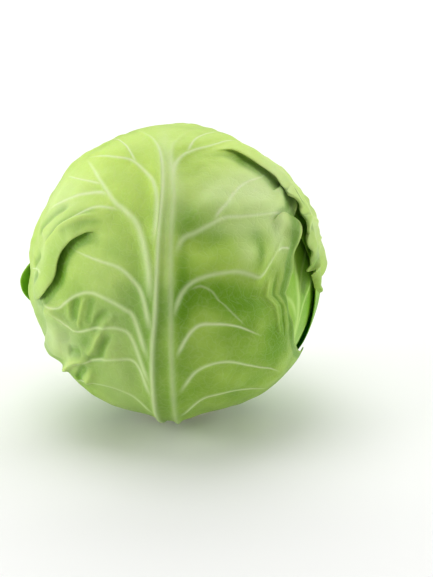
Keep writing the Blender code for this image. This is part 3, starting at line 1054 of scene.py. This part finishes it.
# %% The curled end
def curled_end(steps=30):
    """A closed thin sheet that rises out of the head's left side, towards the front."""
    forward, along = np.meshgrid(np.linspace(0, 1, steps), np.linspace(-1, 1, 2 * steps), indexing="ij")
    turn = np.radians(-114 + 21 * forward)
    rise = np.radians(-6 + 15 * along * (1 - 0.2 * forward) + 1.5 * forward)
    way = np.stack((np.sin(turn) * np.cos(rise), -np.cos(turn) * np.cos(rise), np.sin(rise)), -1)
    out = HEAD_RADIUS - 0.0042 + 0.0102 * forward ** 1.5 * (1 - along ** 2)
    out = out + 0.0003 * noise_at(way * HEAD_RADIUS, 0.006, 21)
    outer = HEAD_CENTRE + way * out[..., None]
    inner = outer - grid_normals(outer) * 0.0007
    points = np.concatenate((outer.reshape(-1, 3), inner.reshape(-1, 3)))
    faces = sheet_faces(outer, np.ones((steps - 1, 2 * steps - 1), bool))
    on_leaf = np.tile(np.stack((forward * 0.02, along * 0.01, 0 * along), -1).reshape(-1, 3), (2, 1))
    plain = np.tile(FAR_AWAY, (len(points), 1))
    attributes = {"leaf_place_and_shade": on_leaf} | {mark: plain for mark in MARKS}
    return mesh_from("curled_leaf_end", points, faces, attributes)


dress(curled_end(), under_skin)

# %% [markdown]
# ## The heart
# Under the wrapper leaves the younger leaves are folded so tightly that they make one firm ball. Only a
# knife would show them apart, so a ball under all the layers is enough.

# %% Heart
HEART_GAP = 0.0006  # between the heart and the leaves on it


def heart_ball(steps):
    """A closed ball under all the wrapper leaves."""
    mesh = bpy.data.meshes.new("heart_ball")
    bm = bmesh.new()
    bmesh.ops.create_uvsphere(bm, u_segments=steps * 2, v_segments=steps, radius=1.0)
    direction = np.array([vertex.co.normalized()[:] for vertex in bm.verts])
    radius = radius_under(leaves, direction) - HEART_GAP + swell(direction)
    radius = radius + 0.0004 * noise_at(direction * HEAD_RADIUS, 0.02, 12)
    for vertex, way, far in zip(bm.verts, direction, radius):
        vertex.co = HEAD_CENTRE + way * far
    bm.to_mesh(mesh)
    bm.free()
    mesh.shade_smooth()
    made = bpy.data.objects.new("heart_ball", mesh)
    bpy.context.scene.collection.objects.link(made)
    return made


heart_skin = leaf_material("heart_skin", (0.40, 0.58, 0.12, 1), (0.66, 0.78, 0.34, 1),
                           (0.78, 0.88, 0.55, 1), (0.7, 0.8, 0.5, 1), 1.0, 5.0)
dress(heart_ball(72), heart_skin, "heart")

# %% [markdown]
# ## The stem
# The stalk is cut straight across, and the head stands on the cut. Its side is fibrous. Its cut shows a
# pale pith inside a ring of bundles, the pipes that fed the leaves, and it dries a little hollow. The
# side carries scars where older leaves were pulled off.

# %% Stem
STEM_HEIGHT = stem_high[2]
EDGE = 0.0008  # how far the side starts above the cut and ends below the top


def stem_turning(around=160, up_steps=26, in_steps=22):
    """One closed skin: the centre of the cut, out to its rim, up the side and in to the centre."""
    cut = [(STEM_CUT_RADIUS * share, 0) for share in np.linspace(0, 0.955, in_steps)[1:]]
    side = [(STEM_CUT_RADIUS + (STEM_TOP_RADIUS - 0.0004 - STEM_CUT_RADIUS) * share,
             EDGE + (STEM_HEIGHT - 2 * EDGE) * share) for share in np.linspace(0, 1, up_steps)]
    top = [(STEM_TOP_RADIUS * share, STEM_HEIGHT) for share in np.linspace(0.95, 0, 10)[:-1]]
    profile = np.array(cut + side + top)
    turn = np.linspace(0, 2 * math.pi, around, endpoint=False)
    radius, turns = np.meshgrid(profile[:, 0], turn, indexing="ij")
    height = np.repeat(profile[:, 1:2], around, 1)
    ring = np.stack((np.cos(turns), np.sin(turns), 0 * turns), -1)
    on_side = (height > 0) & (height < STEM_HEIGHT)
    upwards = np.array((0, 0, 1)) * height[..., None]
    fibres = noise_at(ring * STEM_CUT_RADIUS + 0.12 * upwards, 0.0016, 3)
    lumps = noise_at(ring * STEM_CUT_RADIUS + upwards, 0.009, 5)
    radius = radius + on_side * (0.00016 * fibres + 0.00022 * (lumps - 0.6))
    share = radius / STEM_CUT_RADIUS
    hollow = 0.0006 * (1 - smooth(0.1, 0.75, share)) + 0.00022 * (1 - smooth(0.86, 0.93, share))
    rough = 0.00010 * (1 + noise_at(ring * radius[..., None], 0.0012, 8)) * (1 - smooth(0.86, 0.93, share))
    height = height + (height == 0) * (hollow + rough)
    points = np.stack((ring[..., 0] * radius, ring[..., 1] * radius, height), -1).reshape(-1, 3)
    rows = len(profile)
    index = np.arange(rows * around).reshape(rows, around)
    beside = np.roll(index, -1, 1)
    quads = np.stack((index[:-1], index[1:], beside[1:], beside[:-1]), -1).reshape(-1, 4)
    low, high = len(points), len(points) + 1
    cut_middle = 0.0009  # the dried pith lies this far above the table
    points = np.vstack((points, (0, 0, cut_middle), (0, 0, STEM_HEIGHT)))
    ends = [(low, int(a), int(b)) for a, b in zip(index[0], beside[0])]
    ends += [(high, int(b), int(a)) for a, b in zip(index[-1], beside[-1])]
    mesh = bpy.data.meshes.new("cut_stem")
    mesh.from_pydata(points.tolist(), [], [tuple(reversed(q)) for q in quads.tolist()]
                     + [tuple(reversed(e)) for e in ends])
    mesh.shade_smooth()
    made = bpy.data.objects.new("cut_stem", mesh)
    bpy.context.scene.collection.objects.link(made)
    return made


print("the stalk is", round(STEM_HEIGHT / MM, 1), "mm high")

# %% [markdown]
# ### The stalk's skin
# Noise that is drawn out along the stalk makes its fibres. The lowest millimetre and a half, with the
# cut, gets its own paler colour, a little browned where it has dried.

# %% Stem material
def stem_material(name, pale, brown, cut_colour):
    """Procedural skin of the stalk: fibres up its side, and a paler cut."""
    made, start, shader = new_material(name)
    place = start.node("TexCoord", output=3)
    height = start.node("SeparateXYZ", {0: place}, output=2)
    drawn = start.node("Mapping", {"Vector": place, "Scale": (1.0, 1.0, 0.12)})
    fibres = start.node("TexNoise", {"Vector": drawn, "Scale": 900.0, "Detail": 4.0})
    patch = start.node("TexNoise", {"Vector": place, "Scale": 170.0, "Detail": 4.0})
    side = (fibres.ramp(0.35, 0.7) * 0.5 + patch.ramp(0.45, 0.75) * 0.5).tint(pale, brown)
    on_cut = height.ramp(0.0016, 0.0006)
    dried = (patch.ramp(0.5, 0.8) * 0.5).tint(cut_colour, brown)
    on_cut.tint(side, dried).feed(shader, "Base Color")
    (0.55 + patch * 0.2).feed(shader, "Roughness")
    relief = fibres * 0.6 + patch * 0.4
    start.node("Bump", {"Height": relief, "Strength": 0.4, "Distance": 0.0005}).feed(shader, "Normal")
    shader.inputs["Subsurface Weight"].default_value = 0.08
    shader.inputs["Subsurface Scale"].default_value = 0.002
    return made


stem_skin = stem_material("stem_skin", (0.62, 0.66, 0.36, 1), (0.42, 0.36, 0.17, 1),
                          (0.78, 0.76, 0.52, 1))
dress(stem_turning(), stem_skin, "stem")

# %% [markdown]
# ### Bundles and leaf scars
# Both follow a rule, so both are grown by Geometry Nodes. A rule is a node tree with named inputs, which
# runs on an empty mesh, and its result is taken out as a plain mesh.

# %% Growing by rule
def rule_tree(name, inputs):
    """(node tree, {input name: Wire}, {input name: socket identifier}) of an empty rule."""
    tree = bpy.data.node_groups.new(name, "GeometryNodeTree")
    names = {}
    for title, kind in inputs:
        socket = tree.interface.new_socket(title, in_out="INPUT", socket_type="NodeSocket" + kind)
        names[title] = socket.identifier
    tree.interface.new_socket("Pieces", in_out="OUTPUT", socket_type="NodeSocketGeometry")
    given = tree.nodes.new("NodeGroupInput")
    return tree, {title: Wire(tree, given.outputs[title]) for title, _ in inputs}, names


def end_rule(tree, instances, skin):
    """Makes the instances real, gives them their material and hands them out."""
    real = instances.node("GeometryNodeRealizeInstances", {0: instances})
    done = real.node("GeometryNodeSetMaterial", {0: real, "Material": skin})
    tree.links.new(done.socket, tree.nodes.new("NodeGroupOutput").inputs[0])


def grow(name, tree, names, values):
    """Makes a piece of the stem by a rule. The inputs are set before the rule first runs."""
    seed_mesh = bpy.data.meshes.new(name + "_seed")
    made = bpy.data.objects.new(name, seed_mesh)
    bpy.context.scene.collection.objects.link(made)
    rule = made.modifiers.new("rule", "NODES")
    rule.node_group = tree
    for title, value in values.items():
        rule[names[title]] = value
    made.update_tag()
    ready = made.evaluated_get(bpy.context.evaluated_depsgraph_get())
    mesh = bpy.data.meshes.new_from_object(ready)
    mesh.name = name
    made.modifiers.remove(rule)
    made.data = mesh
    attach(made, "root")
    print(name, len(mesh.polygons), "faces")


# %% [markdown]
# ### Bundles
# The pipes that fed the leaves end in rings of small beads on the cut: a circle of points, each moved a
# little at random, with a flattened bead on it.

# %% Bundles in a ring on the cut
ring_tree, ring, ring_names = rule_tree("ring_of_bundles", (
    ("Count", "Int"), ("Ring radius", "Float"), ("Size", "Float"), ("Height", "Float"), ("Seed", "Int"),
    ("Skin", "Material")))
circle = ring["Count"].node("GeometryNodeMeshCircle", {
    "Vertices": ring["Count"], "Radius": ring["Ring radius"]})
wander = circle.node("FunctionNodeRandomValue", {
    0: (-0.0005, -0.0005, 0.0), 1: (0.0005, 0.0005, 0.0), "Seed": ring["Seed"]}, data_type="FLOAT_VECTOR")
lifted = circle.node("CombineXYZ", {2: ring["Height"]})
moved = circle.node("GeometryNodeSetPosition", {0: circle, "Offset": wander.node(
    "VectorMath", {0: wander, 1: lifted}, operation="ADD")})
bead = circle.node("GeometryNodeMeshIcoSphere", {"Radius": ring["Size"], "Subdivisions": 2})
spread = circle.node("FunctionNodeRandomValue", {
    0: (0.7, 0.7, 0.25), 1: (1.3, 1.3, 0.35), "Seed": ring["Seed"] + 1.0}, data_type="FLOAT_VECTOR")
end_rule(ring_tree, circle.node("GeometryNodeInstanceOnPoints", {
    "Points": moved, "Instance": bead, "Scale": spread}), ring["Skin"])

bundle_skin = stem_material("bundle_skin", (0.60, 0.62, 0.34, 1), (0.40, 0.36, 0.16, 1),
                            (0.52, 0.56, 0.26, 1))
RINGS = ((46, 0.0138, 0.00060), (34, 0.0118, 0.00048), (14, 0.0062, 0.00036))  # count, radius, size
for number, (count, radius, size) in enumerate(RINGS):
    grow(f"bundle_ring_{number}", ring_tree, ring_names, {
        "Count": count, "Ring radius": radius, "Size": size, "Height": 0.00045, "Seed": 5 + number,
        "Skin": bundle_skin})

# %% [markdown]
# ### Leaf scars
# Each leaf that was pulled off left a low curved scar. The scars go up the stalk in the spiral that the
# leaves above go on with, a golden angle apart, and each is turned to face outwards.

# %% Leaf scars in a spiral up the stalk
scar_tree, scar, scar_names = rule_tree("spiral_of_scars", (
    ("Count", "Int"), ("Foot radius", "Float"), ("Top radius", "Float"), ("Foot height", "Float"),
    ("Top height", "Float"), ("Size", "Float"), ("Seed", "Int"), ("Skin", "Material")))
dots = scar["Count"].node("GeometryNodePoints", {"Count": scar["Count"]})
index = dots.node("GeometryNodeInputIndex")
share = index / (scar["Count"] - 1.0)
angle = index * GOLDEN_ANGLE
radius = scar["Foot radius"] + share * (scar["Top radius"] - scar["Foot radius"])
place = dots.node("CombineXYZ", {
    0: radius * angle.sine(), 1: radius * angle.cosine(),
    2: scar["Foot height"] + share * (scar["Top height"] - scar["Foot height"])})
spiral = dots.node("GeometryNodeSetPosition", {0: dots, "Position": place})
facing = dots.node("CombineXYZ", {2: math.pi / 2 - angle})
arc = dots.node("GeometryNodeMeshIcoSphere", {"Radius": scar["Size"], "Subdivisions": 3})
varied = dots.node("FunctionNodeRandomValue", {
    0: (0.16, 0.9, 0.30), 1: (0.24, 1.4, 0.45), "Seed": scar["Seed"]}, data_type="FLOAT_VECTOR")
end_rule(scar_tree, dots.node("GeometryNodeInstanceOnPoints", {
    "Points": spiral, "Instance": arc, "Rotation": facing, "Scale": varied}), scar["Skin"])
scar_skin = stem_material("scar_skin", (0.50, 0.52, 0.28, 1), (0.34, 0.28, 0.13, 1),
                          (0.50, 0.50, 0.28, 1))
grow("leaf_scars", scar_tree, scar_names, {
    "Count": 9, "Foot radius": 0.0174, "Top radius": 0.0182, "Foot height": 0.0024, "Top height": 0.0078,
    "Size": 0.0034, "Seed": 4, "Skin": scar_skin})

# %% [markdown]
# ## Floor
# A pale matt sheet that runs on far behind, so that the head's own shadow is all that shows on it.

# %% Floor
def floor_sheet():
    mesh = bpy.data.meshes.new("floor")
    far = 8.0
    corners = [(-far, -far, 0), (far, -far, 0), (far, far, 0), (-far, far, 0)]
    mesh.from_pydata(corners, [], [(0, 1, 2, 3)])
    made = bpy.data.objects.new("floor", mesh)
    bpy.context.scene.collection.objects.link(made)
    paint = bpy.data.materials.new("floor_paint")
    paint.use_nodes = True
    shader = paint.node_tree.nodes["Principled BSDF"]
    shader.inputs["Base Color"].default_value = (0.88, 0.88, 0.87, 1)
    shader.inputs["Roughness"].default_value = 0.8
    mesh.materials.append(paint)
    return made


floor = floor_sheet()
print(floor.name, "lies at height", floor.location.z)

# %% [markdown]
# ## Light
# Two large soft lamps stand at the sides, the left one a little stronger, and a third hangs above. They
# leave the front in soft half light, which brings out the veins. One more keeps the floor behind the head
# white, and a weak even sky fills the shadows.

# %% Lamps and sky
def soft_lamp(name, place, target, size, power):
    light = bpy.data.lights.new(name, "AREA")
    light.size = size
    light.energy = power
    lamp = bpy.data.objects.new(name, light)
    lamp.location = place
    lamp.rotation_euler = (Vector(target) - Vector(place)).to_track_quat("-Z", "Y").to_euler()
    bpy.context.scene.collection.objects.link(lamp)
    print(name, "at", place, "power", power)


soft_lamp("left_lamp", (-1.05, -0.26, 0.34), HEAD_CENTRE, 0.7, 8.0)
soft_lamp("right_lamp", (1.05, 0.0, 0.40), HEAD_CENTRE, 0.7, 6.2)
soft_lamp("top_lamp", (-0.15, 0.05, 1.25), HEAD_CENTRE, 0.8, 5.5)
soft_lamp("floor_lamp", (0.0, 2.4, 1.6), (0.0, 2.4, 0.0), 3.0, 60.0)
world = bpy.data.worlds.new("studio")
world.use_nodes = True
world.node_tree.nodes["Background"].inputs["Color"].default_value = (1, 1, 1, 1)
world.node_tree.nodes["Background"].inputs["Strength"].default_value = 0.30
bpy.context.scene.world = world
bpy.context.scene.view_settings.view_transform = "Standard"

# %% [markdown]
# ## Camera
# It stands straight in front of the head and looks down on it a little. It is turned slightly aside, so
# the head stands left of the middle of the picture.

# %% Camera
CAMERA_RISE = math.radians(18)
CAMERA_DISTANCE = 0.7456
ASIDE, BELOW = 0.0218, 0.0082  # from the head's centre to the point that the camera looks at
camera_data = bpy.data.cameras.new("camera")
camera_data.lens = 85
camera_data.sensor_width = 36
camera = bpy.data.objects.new("camera", camera_data)
back = Vector((0, -math.cos(CAMERA_RISE), math.sin(CAMERA_RISE)))
camera_up = Vector((0, math.sin(CAMERA_RISE), math.cos(CAMERA_RISE)))
aim = Vector(HEAD_CENTRE) + Vector((ASIDE, 0, 0)) - camera_up * BELOW
camera.location = Vector(HEAD_CENTRE) + back * CAMERA_DISTANCE
camera.rotation_euler = (aim - camera.location).to_track_quat("-Z", "Y").to_euler()
bpy.context.scene.collection.objects.link(camera)
bpy.context.scene.camera = camera
print("camera at", [round(value, 3) for value in camera.location])
